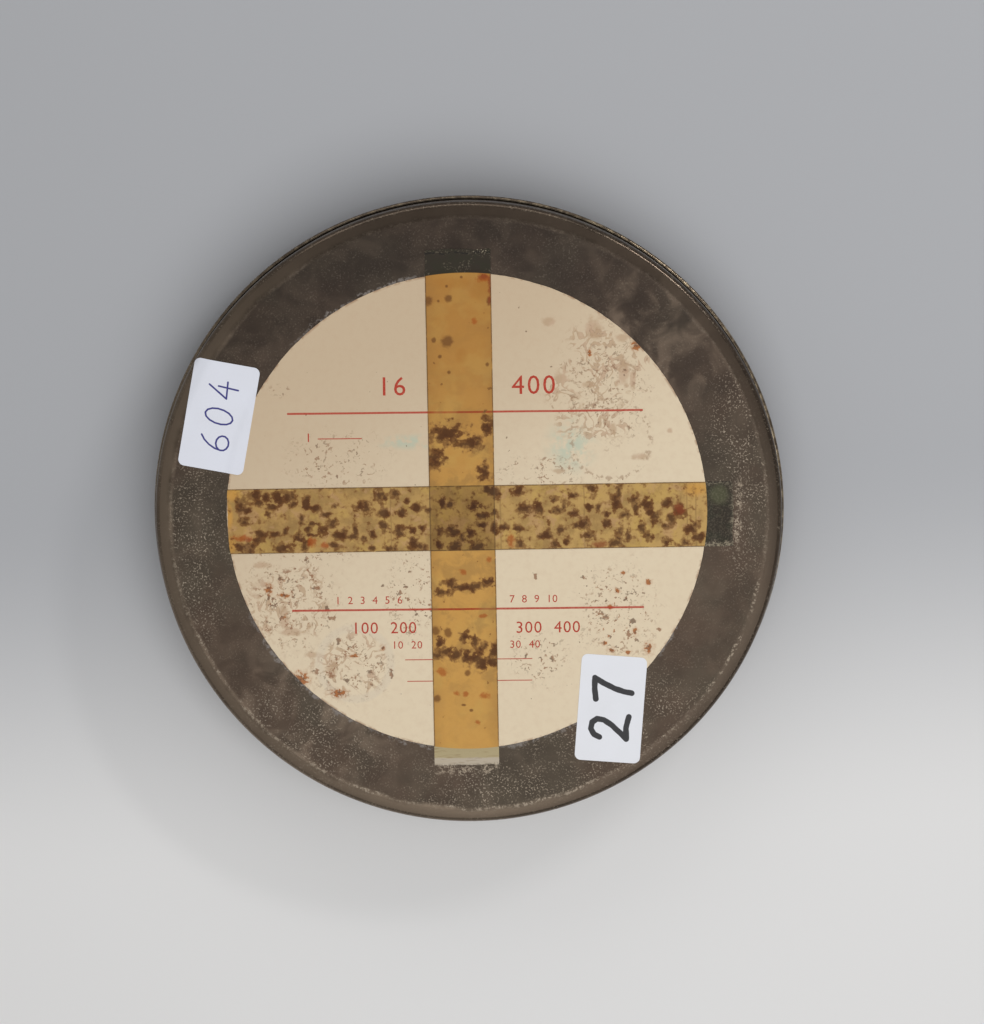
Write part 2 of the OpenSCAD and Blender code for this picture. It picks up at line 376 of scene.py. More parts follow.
tinFinish = {
    "dark": ink(36, 28, 22),
    "mid": ink(58, 46, 36),
    "olive": ink(55, 47, 37),
    "shoulder": ink(88, 75, 63),
    "shoulderLow": ink(138, 121, 103),
    "bare": ink(164, 147, 120),
    "worn": ink(142, 129, 112),
    "haze": ink(104, 89, 75),
    "paste": ink(140, 131, 124),
    "inner": ink(120, 113, 104),
    "rust": ink(96, 62, 40),
    "wornRing": 86.9,
    "shoulderRun": (85.8, 88.2),  # from one radius to another
    "slopeRun": (86.9, 87.8),
    "wallRun": (89.6, 90.2),
    "hemRun": (91.4, 91.7),
    "hemWearAndGlint": (91.4, 91.8),
    "panelHeights": (25.2, 25.4),
    "bendHeights": (21.5, 23),
    "roughness": 0.36,
    "scuffed": ((-52, -68, 28, 20), (-81, -8, 11, 34), (80, 14, 11, 34), (48, -66, 34, 20), (6, -80, 30, 9)),
    "hazed": ((56, 52, 26, 24), (-50, -60, 30, 24)),
    "pasted": ((-48, -52, 34, 30), (-34, 64, 30, 16), (40, -60, 20, 12), (-18, -70, 12, 7), (18, -70, 12, 7),
               (58.5, -38, 5, 7)),
    "fringed": ((-8, -75, 4, 1.6), (-1.8, -75.2, 5, 1.6), (4.6, -74.9, 4, 1.6), (78.6, 4.2, 1.2, 5.4),
                (78.1, -5, 1.2, 5.4)),
}


def innerFace(depth, radius, edge):  # depth: in from the panel's outer face; edge: the panel's radius
    slope = tan(radians(lidForm["shoulderAngle"]))  # lid and base bend alike
    middle = lidForm["bendRadius"] - lidForm["sheet"] / 2
    bendOut = lidForm["bendCentre"][0] - lidForm["panelRadius"]
    bendIn = lidForm["top"] - lidForm["bendCentre"][1]

    def beyond(value, border):
        return value.fade(border - 0.05, border + 0.05)
    past = radius - edge
    sloped = beyond(depth - past.most(0.0) * slope, lidForm["sheet"] / 2)
    bend = ((past - bendOut) * (past - bendOut) + (depth - bendIn) * (depth - bendIn)).root()
    outerBend = beyond(past, bendOut) * (1 - beyond(depth, bendIn)) * beyond(bend, middle)
    return sloped * (1 - outerBend) * (1 - beyond(past, bendOut + middle))


def tinMaterial(name, look, panelHeight, edge):
    material, point = newMaterial(name)
    x, y, z = point.xyz()
    radius = fromAxis(point)
    onPanel = z.fade(*look["panelHeights"])
    cloud = point.noise(0.1, 4, 0.6)
    grain = point.noise(2.4, 2, 0.6)
    paint = Paint(point.noise(0.035, 3, 0.5).fade(0.42, 0.6).mix(look["mid"], look["olive"]), look)
    # painted shade: the tin darker towards the top, where its reflections are dimmer; the clouds are its own uneven
    # tone
    paint.coat(cloud.fade(0.38, 0.66) * 0.22 + y.fade(-20, 95) * 0.68, "dark")
    smoke = point.noise(0.11, 3, 0.5, 0.8).fade(0.42, 0.72) * (0.25 + field(point, look["hazed"]) * 0.75)
    paint.coat(smoke * 0.46, "haze")
    # painted reflection: the sloping shoulder lighter than the panel, most at the lower left, where it mirrors the
    # bright floor
    shoulder = (x * 0.9 + y * 0.45).fade(30, -75).mix(look["shoulder"], look["shoulderLow"])
    paint.coat((radius + (cloud - 0.5) * 3).fade(*look["shoulderRun"]) * 0.62, shoulder)
    # walls: faint rubbed bands, scrapes from the lid, darker clouds and rust low down
    wall = radius.fade(*look["wallRun"])
    bands = point.stretched(0.12, 0.12, 2.2).noise(1, 3, 0.6)
    paint.coat(wall * bands.fade(0.48, 0.7) * 0.4, "haze")
    paint.coat(wall * point.noise(0.06, 4, 0.6).fade(0.42, 0.66) * 0.32, "dark")
    scrapes = point.stretched(1.3, 1.3, 0.05).noise(1, 2).fade(0.58, 0.68) * point.noise(0.05, 2).fade(0.42, 0.6)
    paint.coat(wall * scrapes * 0.4, "worn")
    rusted = wall * (1 - (z + (cloud - 0.5) * 12).fade(0.5, 4.5)) * point.noise(0.5, 4, 0.65).fade(0.46, 0.58)
    paint.coat(rusted * 0.7, "rust")
    # worn bare hem, with painted highlight: more of it towards the right, where the light glints on the hem
    rubbed = (0.15 + point.noise(0.4, 3, 0.6).fade(0.45, 0.62) * 0.7) * (0.4 + x.fade(5, 50) * 0.6)
    paint.coat(radius.fade(*look["hemWearAndGlint"]) * rubbed, "bare")
    # short pale scuffs, thick in drifts, and a broken worn line where another can has stood
    reach = (0.14 + field(point, look["scuffed"], 0.3, 1.3) * 0.86).most(wall * 0.6)
    drift = point.noise(0.12, 4, 0.66).fade(0.34, 0.58) * reach
    flat = 1 - radius.fade(*look["slopeRun"]) * (1 - wall) * (0.4 + y.fade(-60, 0) * 0.4)
    flecks = threads(point, 1.15, 0.025, 0.09) * drift * flat * (0.25 + point.noise(0.5, 2) * 0.9)
    lower = 1 - y.fade(-70, 40) * 0.88
    ring = 1 - abs(radius - look["wornRing"] + (cloud - 0.5) * 3 + (grain - 0.5)).fade(0.15, 0.8)
    ring = ring * point.noise(0.9, 3, 0.7).fade(0.47, 0.6) * point.noise(0.09, 3, 0.6).fade(0.36, 0.54) * lower
    worn = flecks.most(ring * 0.9)
    paint.coat(worn, "worn")
    # paste left round the label
    out = fromLabel(point) + (point.noise(0.3, 3, 0.6) - 0.5) * 5
    paste = (1 - out.fade(0.1, 1.0)) * point.noise(0.8, 3, 0.6).fade(0.42, 0.58)
    paste = paste * onPanel * field(point, look["pasted"])
    paint.coat(paste * 0.6, "paste")
    fringe = threads(point, 1.3, 0.05, 0.14).most(point.noise(1.2, 2).fade(0.5, 0.6) * 0.6)  # left by torn tape
    torn = blobs(point, look["fringed"], (point.noise(0.5, 2) - 0.5) * 3, 0.3, 1.1)
    paint.coat(fringe * torn * onPanel * 0.65, "worn")
    glossy = (wall * z.fade(*look["bendHeights"])).most(radius.fade(*look["hemRun"]))
    within = innerFace(abs(z - panelHeight), radius, edge)
    bright = cloud.fade(0.35, 0.6).mix(look["haze"], look["inner"])
    bright = (point.noise(0.22, 4, 0.65).fade(0.6, 0.7) * 0.6).mix(bright, look["rust"])
    paint.coat(within, bright)
    dull = worn * 0.14 + paste * 0.3 + rusted * 0.3 - glossy * 0.14
    return feed(material, Base_Color=paint.colour, Roughness=look["roughness"] + (cloud - 0.5) * 0.22 + dull,
                Metallic=0.78 - paste * 0.7 - worn * 0.3 - rusted * 0.6,
                Normal=relief(grain * 0.45 + cloud * 0.55 + worn * 0.3, 0.04, 0.6))


lidTin = tinMaterial("lidTin", tinFinish, lidForm["top"], lidForm["panelRadius"])
baseTin = tinMaterial("baseTin", tinFinish, 0.0, baseForm["floorRadius"])


def makeLid(form):
    top, sheet, edge = form["top"], form["sheet"], form["panelRadius"]
    bendTop = 90 - form["shoulderAngle"]
    edgeIn = edge - sheet * tan(radians(form["shoulderAngle"] / 2))
    points = [(ring, top) for ring in form["panelRings"]]
    points += [(edge - 0.8, top), (edge - 0.2, top - 0.01), (edge + 0.4, top - 0.13)]  # eased edge
    points += arcPoints(form["bendCentre"], form["bendRadius"], bendTop, 0, 12)
    skirt = points[-1][0]
    points += [(skirt, height) for height in form["skirtRings"]]
    points += arcPoints(form["hemCentre"], form["hemRadius"] - sheet, 180, 450, 14)
    points += arcPoints(form["hemCentre"], form["hemRadius"], 450, 180, 20)
    points += [(skirt - sheet, height) for height in form["liningRings"]]
    points += arcPoints(form["bendCentre"], form["bendRadius"] - sheet, 0, bendTop, 10)
    points += [(ring, top - sheet) for ring in (edgeIn, 60, 0)]
    return lathe("lid_pressing", points, 256)


finish(makeLid(lidForm), "lid", lidTin, "aged_tin", "lid")


def makeBase(form):
    sheet, edge = form["sheet"], form["floorRadius"]
    bendLow = form["shoulderAngle"] - 90
    edgeIn = edge - sheet * tan(radians(form["shoulderAngle"] / 2))
    inside = form["rimCentre"][0]
    points = [(ring, 0) for ring in form["floorRings"] + (edge,)]
    points += arcPoints(form["bendCentre"], form["bendRadius"], bendLow, 0, 12)
    points += [(inside + sheet, height) for height in form["wallRings"]]
    points += arcPoints(form["rimCentre"], sheet, 0, 180, 12)
    points += [(inside - sheet, form["fold"]), (inside, form["fold"])]
    points += [(inside, height) for height in form["liningRings"]]
    points += arcPoints(form["bendCentre"], form["bendRadius"] - sheet, 0, bendLow, 10)
    points += [(ring, sheet) for ring in (edgeIn, 50, 0)]
    return lathe("base_pan", points, 256)


finish(makeBase(baseForm), "base", baseTin, "aged_tin", "can_base")
print("lid and base turned")

# Paper label

labelLook = {
    "cream": ink(217, 200, 172),
    "agedAndShaded": ink(195, 174, 146),
    "tan": ink(183, 152, 125),
    "khaki": ink(176, 147, 117),
    "grey": ink(156, 128, 103),
    "brown": ink(98, 70, 50),
    "rust": ink(158, 90, 34),
    "darkRust": ink(98, 56, 32),
    "foxing": ink(136, 92, 62),
    "red": ink(172, 60, 44),
    "wash": ink(160, 186, 170),
    "pale": ink(206, 192, 170),
    "slope": 0.005,  # the print is a touch askew
    "mainRules": ((30.5, -52.0, 51.0, 0.6), (-27.3, -52.0, 50.7, 0.6)),  # y, from x, to x, thickness
    "fineRules": ((23.1, -43.3, -30.5, 0.3), (-42.2, -19.3, 17.9, 0.28), (-48.6, -18.8, 17.8, 0.28)),
    "stains": ((40, 45, 14), (27, 37, 6, 5), (37, 27, 12, 6), (-53, -25, 13, 12), (-36, -43, 12, 11)),
    "specks": (
        (-38, 17, 15, 9), (-52, -24, 15, 16), (-35, -45, 12, 10), (43, -29, 13, 15), (-16, -24, 9, 15),
        (22, 12, 14, 6), (41, 37, 13, 18), (20, -42, 9), (-54, 37.5, 3.5, 2), (-48, -10, 16, 4),
    ),
    "blots": (
        (37.4, 53.8, 2.8, 3.6), (24.2, 56.3, 1.8, 1.5), (45.1, 51.4, 2.4, 1.2), (58.7, 24.2, 0.9),
        (45.6, 41.2, 1.7, 4.1), (48.2, 38.5, 1.1, 3), (35.2, 37.8, 2.4, 1.1), (42, 25.1, 1.3, 2.1),
        (50.4, 16.6, 2.6, 1.3), (26.6, 12.9, 2, 0.9), (-46.3, -40.2, 2.7, 1.1), (-40.9, -44.2, 1.8, 3),
        (-54.5, -29.2, 1.6, 3.8), (-60.3, -13.5, 2.7, 1.2), (-52.8, -33.2, 3.5, 1.2),
    ),
    "brownSpots": (
        (-25.3, -19.8, 0.9, 0.7), (-40.4, -29.3, 1.2, 0.9), (-41.9, -26.4, 1, 0.9), (-38.8, -36.1, 0.9, 1.7),
        (-40.9, -46.4, 1.2, 1), (-36.8, -47.7, 1.1, 1.2), (-29.7, -45.3, 1.2, 0.6), (-23.4, -46.6, 0.8, 1.8),
        (-47.5, -12.1, 0.9, 1.2), (-45.6, -45.2, 1.2, 1), (-45.1, -20.4, 1.6, 0.7), (-58.9, -22.9, 0.8, 0.9),
        (23.7, -42.6, 1, 0.9), (33.3, -18.5, 0.9, 0.6), (19, -17.9, 0.8, 1), (46.2, -35.6, 1, 1.2),
        (55.2, -34.3, 0.8, 0.6), (39.2, -30.4, 1.4, 0.9), (47.4, -31.6, 1.2, 1),
    ),
    "rings": ((41.6, 21.7, 11.5), (25, 13, 4.6), (28, 33, 3.4)),
    "paleRing": (-34, -43, 10.5),
    "rustSpots": (
        (-50, -47.4, 2.8, 2.4), (-58.6, -20.5, 1.2, 1.9), (-54.2, -22.4, 1.7, 0.8), (-38.9, -51.7, 2.9, 1.3),
        (-34.1, -40.7, 1.2, 0.7), (-25.8, -38.4, 0.9), (49.2, 48.8, 1.5), (35.7, 47.1, 0.8, 0.9),
        (52.2, -20.3, 1, 0.9), (42.9, -22.7, 0.9, 0.8), (44.7, -17.4, 0.7, 0.6), (48, -34.8, 0.9, 1.2),
        (41, -40.1, 1.2, 1), (38.9, -38, 0.9, 0.8), (45.9, -41, 0.9, 0.8), (52, -39.7, 1.5, 1.8),
        (40.8, -27.5, 1.1, 0.9),
    ),
    "rusty": ((44, -29, 12, 14), (-54, -24, 8, 9)),
    "washed": ((30, 20, 8, 9), (-16, 22, 12, 2.5)),
}


def paperTone(point, look):  # aged, and painted shade: darker towards the top left, where less light falls
    x, y = point.xyz()[:2]
    slant = y * 0.8 - x * 0.55 + (point.noise(0.02, 2) - 0.5) * 40
    colour = slant.fade(-28, 62).mix(look["cream"], look["agedAndShaded"])
    return (point.noise(0.5, 3, 0.6).fade(0.4, 0.75) * 0.12).mix(colour, look["tan"])


def ruled(point, colour, rules, look):
    x, y = point.xyz()[:2]
    printed = None
    level = y + x * look["slope"] + (point.noise(0.15, 1) - 0.5) * 0.1
    for height, start, end, thick in rules:
        line = 1 - abs(level - height).fade(thick / 2 - 0.06, thick / 2 + 0.06)
        line = line * (1 - abs(x - (start + end) / 2).fade((end - start) / 2 - 0.1, (end - start) / 2 + 0.1))
        printed = line if printed is None else printed.most(line)
    patchy = 0.74 + point.noise(1.4, 2, 0.6) * 0.32
    return (printed * patchy).least(1.0).mix(colour, look["red"])


def labelColour(point, look):
    paint = Paint(paperTone(point, look), look)
    coarse = point.noise(0.3, 3, 0.6)
    rough = (coarse - 0.5) * 0.9
    paint.coat(field(point, look["washed"], 0.2, 1.2) * coarse.fade(0.36, 0.58) * 0.5, "wash")
    # water marks: soft blots, and winding strokes with thin darker rims
    tone = point.noise(0.28, 2).fade(0.42, 0.58).mix(look["tan"], look["khaki"])
    paint.coat(blobs(point, look["blots"], rough * 2, 0.5, 1.2) * 0.65, tone)
    stained = blobs(point, look["stains"], rough, 0.7, 1.1)
    swirl = abs(point.noise(0.2, 2, 0.45, 1.4) - 0.5)
    broken = point.noise(0.25, 2).fade(0.42, 0.52)
    paint.coat(stained * broken * (1 - swirl.fade(0.03, 0.06)) * 0.7, tone)
    rim = (1 - abs(swirl - 0.05).fade(0.004, 0.016)) * point.noise(0.5, 2).fade(0.48, 0.56)
    paint.coat(stained * rim * 0.7, "grey")
    faint = 1 - abs(away(point, look["paleRing"]) - 1).fade(0.06, 0.16)
    paint.coat(faint * 0.5, "pale")
    for ring in look["rings"]:
        line = 1 - abs(away(point, ring) - 1 + rough * 0.12).fade(0.03, 0.1)
        paint.coat(line * point.noise(0.7, 2, 0.6).fade(0.5, 0.6) * 0.6, "grey")
    # mould specks, thick in places and few elsewhere
    fields = blobs(point, look["specks"], rough, 0.55, 1.2)
    clumps = point.noise(0.2, 3, 0.6).fade(0.42, 0.58)
    speck = (threads(point, 0.55, 0.015, 0.07) * clumps).most(point.noise(0.95, 2, 0.6).fade(0.61, 0.66) * clumps)
    speck = fields * speck.most(point.noise(0.6, 2, 0.6).fade(0.66, 0.69))
    fine = point.noise(0.9, 2, 0.6) - 0.5
    speck = speck.most(blobs(point, look["brownSpots"], fine * 3, 0.5, 0.9))
    upper = point.xyz()[1].fade(0, 30)  # paler and greyer specks there
    speckTone = (point.noise(0.4, 2).fade(0.46, 0.56) * (1 - upper * 0.3)).mix(look["brown"], look["foxing"])
    paint.coat(speck * (0.78 - upper * 0.16), speckTone)
    paint.coat(point.noise(0.55, 2, 0.6).fade(0.74, 0.76) * 0.7, "brown")
    rusty = field(point, look["rusty"]) * point.noise(0.62, 3, 0.6, 0.4).fade(0.62, 0.68)
    spotted = nearest(point, look["rustSpots"]) + fine * 2.6
    paint.coat((1 - spotted.fade(0.5, 1.6)) * 0.3, "rust")
    rust = point.noise(0.9, 2).fade(0.42, 0.58).mix(look["rust"], look["darkRust"])
    paint.coat(rusty.most(1 - spotted.fade(0.5, 0.8)) * 0.85, rust)
    grubby = fromLabel(point).fade(-0.9, -0.1) * point.noise(0.3, 4, 0.65).fade(0.44, 0.6)
    paint.coat(grubby * 0.6, "foxing")
    return ruled(point, paint.colour, look["mainRules"] + look["fineRules"], look)


def labelMaterial(look):
    material, point = newMaterial("labelPaper", 0.25)
    fibre = point.noise(3.0, 3, 0.6)
    return feed(material, Base_Color=labelColour(point, look), Roughness=0.72 + fibre * 0.16,
                Normal=relief(fibre * 0.4 + point.noise(0.3, 2) * 0.6, 0.03, 0.5))


labelPaper = labelMaterial(labelLook)


def makeLabel(form):
    pick()
    bpy.ops.mesh.primitive_circle_add(vertices=360, radius=(form["radius"] - trim) * mm, fill_type="NGON")
    piece = named("round_label")
    bpy.ops.object.mode_set(mode="EDIT")
    bpy.ops.mesh.select_all(action="SELECT")
    bpy.ops.transform.translate(value=(form["x"] * mm, form["y"] * mm, lidForm["top"] * mm))
    rise = (form["thick"] - form["easeDown"]) * mm
    bpy.ops.mesh.extrude_region_move(TRANSFORM_OT_translate={"value": (0, 0, rise)})
    bpy.ops.mesh.inset(thickness=form["easeIn"] * mm, depth=form["easeDown"] * mm)  # eased upper edge
    bpy.ops.mesh.inset(thickness=form["rim"] * mm)
    closeMesh(1e-6)
    for corner in piece.data.vertices:  # hand-cut edge
        out = Vector((corner.co.x / mm - form["x"], corner.co.y / mm - form["y"], 0))
        if out.length > form["radius"] - 1:
            turn = out.normalized()
            nick = 0.18 * abs(noise.noise(turn * 30)) + 0.25 * max(0, noise.noise(turn * 9) - 0.25)
            corner.co -= turn * nick * mm
    piece.data.update()
    return piece


finish(makeLabel(labelForm), "lid", labelPaper, "label_paper", "paper_label")

numberRows = (  # plain red numbers: text, x of its middle, y, height of a digit, gap between digits
    ("16", -21.5, 38.0, 5.6, 1.15), ("400", 19.5, 37.8, 5.6, 1.15),
    ("1", -46.0, 23.6, 2.6, 1.0),
    ("1  2  3  4  5  6", -29.5, -24.4, 2.3, 1.05), ("7  8  9  10", 18.5, -24.7, 2.3, 1.05),
    ("100  200", -25.2, -32.7, 3.5, 1.1), ("300  400", 22.6, -33.2, 3.5, 1.1),
    ("10  20", -18.6, -37.8, 2.3, 1.1), ("30  40", 15.8, -38.1, 2.3, 1.1),
)
numberInk = {"red": ink(172, 60, 44), "worn": ink(190, 104, 82), "sunk": 0.01, "proud": 0.008, "digitShare": 0.72}


def makeNumbers(rows, look):
    surface = lidForm["top"] + labelForm["thick"]
    pieces = []
    for text, x, y, height, gap in rows:
        pick()
        bpy.ops.object.text_add()
        line = bpy.context.object
        line.data.body = text
        line.data.size = height / look["digitShare"] * mm
        line.data.space_character = gap
        line.data.align_x, line.data.align_y = "CENTER", "CENTER"
        line.data.resolution_u = 3
        line.data.extrude = (look["sunk"] + look["proud"]) / 2 * mm
        bpy.ops.object.convert(target="MESH")
        line = bpy.context.object
        raised = surface + (look["proud"] - look["sunk"]) / 2
        askew = Matrix.Rotation(-labelLook["slope"], 4, "Z")
        line.data.transform(Matrix.Translation((x * mm, y * mm, raised * mm)) @ askew)
        pieces.append(line)
    pick(*pieces)
    bpy.ops.object.join()
    piece = named("label_numbers")
    bpy.ops.object.mode_set(mode="EDIT")
    closeMesh(2e-6)
    return piece


def numberMaterial(look):
    material, point = newMaterial("redPrint", 0.2)
    patchy = point.noise(1.4, 3, 0.65)
    return feed(material, Base_Color=patchy.fade(0.5, 0.75).mix(look["red"], look["worn"]),
                Roughness=0.62 + patchy * 0.2)


finish(makeNumbers(numberRows, numberInk), "lid", numberMaterial(numberInk), "label_paper")
print("label laid")

# Amber tapes

tapeLook = {
    "amberAcross": (0.67, 0.50, 0.23, 1.0),  # what the tape lets through
    "amberDown": (0.76, 0.49, 0.165, 1.0),
    "second": (0.68, 0.63, 0.51, 1.0),  # and where two lie on each other
    "purple": ink(86, 47, 18),
    "brown": ink(106, 66, 28),
    "core": ink(66, 34, 10),
    "rim": ink(132, 94, 50),
    "orange": ink(152, 68, 4),
    "golden": ink(202, 146, 62),
    "honey": ink(158, 104, 40),
    "yellow": ink(188, 154, 82),
    "pink": ink(180, 140, 100),
    "russet": ink(126, 56, 24),
    "edge": ink(88, 64, 38),
    "olive": ink(48, 41, 32),
    "green": ink(47, 45, 33),
    "moss": ink(78, 78, 55),
    "line": ink(30, 26, 22),
    "bare": ink(84, 74, 62),
    "fray": ink(150, 139, 117),
    "band": ink(168, 153, 117),
    "fibre": ink(180, 168, 152),
    "crease": ink(120, 92, 54),
    "acrossOrange": ((-66.0, -5.4, 2.7, 1.0), (-45.8, -7.0, 1.3, 1.6), (-42.0, -7.9, 1.3, 1.0), (12.2, -7.3, 1.1, 2.1)),
    "acrossRusset": ((38.0, -8.7, 2.6, 1.0), (61.1, 0.9, 1.6, 1.8), (-64.3, -5.9, 1.5, 0.5)),
    "acrossGolden": ((-68.3, 7.4, 2.4, 2.2), (-69.2, -7.4, 1.6, 2.6), (-69.6, 1.0, 1.2, 4.0), (66.0, 7.0, 4.0, 2.4)),
    "acrossRagged": (
        (-65.7, 4.3, 1.6, 2.1), (-64.4, 2.8, 1.6, 0.9), (-65.1, -0.6, 1.6, 1.2), (-58.1, 1.4, 1, 0.8),
        (-62, 7.2, 2.1, 1.8), (-58.8, 6.5, 1.2), (-60.8, 4.8, 1.2, 1.1), (-55.2, 6.2, 1.8, 2.6),
        (-52.4, 6.4, 2.1, 1.8), (-57.1, 3.8, 1.8, 0.9), (-51.1, 4.3, 1.2, 0.9), (-46.9, 5.1, 1.1, 1.5),
        (-47.5, 3.5, 1.8, 0.8), (-44, 3, 1.1, 1.2), (-41.4, 1.2, 1.5, 0.7), (-48.5, 0.1, 0.8, 1.2),
        (-45.4, -1.4, 2.2, 0.7), (-46.8, -3, 0.9, 1.2), (-42.5, -3.3, 1.5, 1), (-39.9, -1.7, 1.4, 1.3),
        (-38.7, 3.6, 0.8), (-30.4, 3.2, 2.1, 1.4), (-26, 6.6, 1.3, 1.7), (-24.1, 5.9, 1, 0.8), (-21.2, 7, 1, 1.7),
        (-17.9, 4.8, 0.9, 0.8), (-14.9, 2.7, 1.8, 1.1), (-19.5, 1.6, 1.2), (-11.7, 1.9, 1.2, 0.7),
        (-24.5, 1.7, 1.2, 1.7), (-24.7, -2.2, 1.4, 1.7), (-20.2, -3.9, 1.5, 1.7), (-37.1, -4.8, 2, 1.5),
        (-33.8, -5.5, 2.1, 0.9), (-33, -3.7, 0.6, 1.8), (-30.7, -5.8, 0.9, 0.8), (-28.2, -4.7, 0.9, 1.4),
        (-60.5, -4.3, 2, 1.1), (-61.4, -6, 1.6, 1), (-55.9, -4.2, 1.6, 0.7), (-53.4, -3.3, 0.8, 1),
        (-65.1, -8.5, 2.8, 1.4), (-54.1, -8.5, 2.3, 1.4), (-49.1, -5.9, 1.4, 1.6), (-46.1, -4.8, 1.4, 0.7),
        (-48, -7.6, 1.4, 1.2), (-16, -7.5, 1.6, 1.7), (-13.9, -8.7, 1.6, 1.2), (-16.2, -4.2, 0.9), (-13.6, -3.1, 0.8),
        (-39.2, -8, 1.6, 0.9), (-28.3, -8.9, 1.1, 0.7), (-22.8, -9, 1.5, 0.7), (-7.6, 3.9, 0.9, 1.5),
        (-5.1, 3.7, 1, 1.3), (-4.6, -4.4, 1.7, 1.4), (-4, -8.4, 1.6, 1.7), (-8.7, -3.9, 0.9, 1.4),
        (-8.7, -8.5, 1.2, 0.9), (2.6, -9.1, 2.2, 1.7), (1.9, 3.1, 1.7, 1.2), (5.4, 8.1, 1.2), (7.6, 7.4, 1.4, 1.9),
        (4.3, 0, 1.5, 1), (3.6, -2.7, 1.7, 1), (0.2, -5, 1.4, 1.2), (-1.7, -6.4, 0.9, 1.1), (7.7, 0.9, 1),
        (7.4, -3.5, 0.9, 1.7), (14.6, 7.2, 1.6, 1.3), (20, 2.3, 1.3, 2), (16.4, 1.8, 2, 1.5), (24.8, 4.6, 0.9),
        (27.8, 2.9, 0.9, 1.7), (26, 1.4, 1.8, 1), (30.8, 0.4, 1.4, 0.9), (30.7, 5.7, 1.3, 1.1), (35.7, 7.8, 1.4, 1.3),
        (35.1, 2.2, 1.2), (37.7, 2, 0.8, 1.2), (43.7, 6.9, 1, 1.9), (42.9, 3.1, 1.3, 2), (40.1, 0.3, 1.1, 1.2),
        (40.2, -2.6, 1, 1.5), (33.4, -2.7, 1.5, 1.7), (31.2, -3.4, 1), (34.7, -6.4, 1.8, 1.2), (42.7, -8.4, 2.2, 1.2),
        (44, -5.1, 1.2), (46.3, -6.3, 0.7, 1.7), (47.7, 3.7, 1, 1.2), (48.3, 1.6, 0.9, 1.5), (45.5, -0.5, 1.5, 1.2),
        (51.7, 2.5, 1.7, 1.5), (52.6, 0.3, 1.2, 1), (54.4, -1, 1.5, 1.7), (57.8, 3.1, 1.4, 1.3),
        (61.1, 0.9, 1.7, 1.8), (58.9, -2, 1.2, 1.9), (57.4, -3.9, 1, 0.8), (50.1, -4.2, 1.1, 1.7), (52.2, -6.7, 1.2),
        (57.3, -8.2, 1.1, 1.7), (62.5, -9, 1.2), (65, -4.5, 1.7), (66.8, -7, 1.7, 1.4), (10.2, -3.3, 1.3, 1),
        (14.2, -4.1, 1.5, 1.1), (22.4, -5.7, 2.2, 1.3), (26.7, -4.4, 1.9, 1.2), (25, -8.6, 1.1, 1.2),
        (28.1, -8.2, 0.8), (14.9, -8.4, 1.2, 1),
    ),
    "greener": ((72.8, 5.2, 3.2, 3.4),),
    "endBorder": (75.8, 77.2),  # the right end: x
    "endLine": 8.9,  # y
    "endLineStop": (75.5, 77),
    "topTear": 76.9,  # the upper and lower ends: y
    "topLine": 76.5,
    "lowBand": (-71.3, -71.8),
    "lowFray": (-72.9, -74),
    "creases": (-22.6, 9.3, 33.6, 63.5, 66.0),
    "downRound": (
        (-10.4, 62.9, 1.4, 1.5), (-4.7, 63.5, 1.2), (7.1, 62.6, 1, 1.6), (-5.3, 51.1, 2, 1.9), (-7.6, 62.8, 0.5),
        (-5.1, 67, 0.5), (-0.9, 69.6, 0.5), (-9.1, 51.5, 0.8, 0.9), (-7.5, 46.7, 0.6), (6.2, 44.3, 0.6, 0.7),
        (-4.9, 42.1, 0.6), (-1.1, -46.3, 1), (-10.3, -33.5, 1.4, 1.6), (-6.7, -34.2, 1.3, 1.7),
        (-10.1, -53.8, 1.3, 1.2), (-2.4, -55.8, 0.8, 0.4), (-0.2, -57.4, 0.6, 0.5),
    ),
    "downRusset": ((5.2, 69.6, 1.8, 0.9), (7.2, 62.8, 0.9, 1.9), (7.4, 66.5, 0.7, 3.6)),
    "downRagged": (
        (-5.8, 23.8, 4.4, 2.5), (1.4, 21.3, 3, 1.6), (6.1, 26.2, 1.5, 2.4), (-9.2, 16.9, 2, 2.6),
        (4.7, 12.9, 1.5, 1.9), (-7.7, -22.1, 1.8, 1.1), (-5.4, -19.9, 2, 1.1), (-2.4, -20.9, 1.8, 0.8),
        (-0.4, -20.9, 2, 1), (2.7, -20.3, 2, 0.9), (5.8, -19.2, 1.8, 1), (-1.6, -35.6, 1.3), (1.2, -36.9, 0.9, 1.7),
        (3.8, -38.8, 1.3, 1.1), (-9.1, -37.2, 1.1, 1.3), (-7.9, -39.7, 2.2, 1.3), (-9.7, -41, 1.7, 1),
        (-4.4, -40.8, 2, 1.4), (-1.2, -41.5, 2, 1.6), (1.3, -41.8, 1.8), (3.1, -43.4, 2.4, 1.7), (6.3, -43, 1.8, 1.4),
        (6.6, -40.1, 1.1, 1.8),
    ),
    "downOrange": (
        (5.6, 69.2, 2.4, 1.3), (2.8, 56.9, 1.1), (-2.1, -16.3, 1.1, 1), (5.7, -12.9, 0.9), (-8.6, -45.8, 2, 1.4),
        (-4.5, -52.3, 0.9, 0.8), (-1.7, -52.6, 0.9), (3.8, -53.2, 1.5, 1.1), (1.6, -61.1, 0.9, 0.7),
        (3.9, -29.4, 1.5, 0.6),
    ),
    "downHoney": ((-1.2, 46.8, 2.0, 2.6), (-3.0, 68.0, 7.0, 2.0), (4.6, 66.0, 3.4, 4.0)),
}


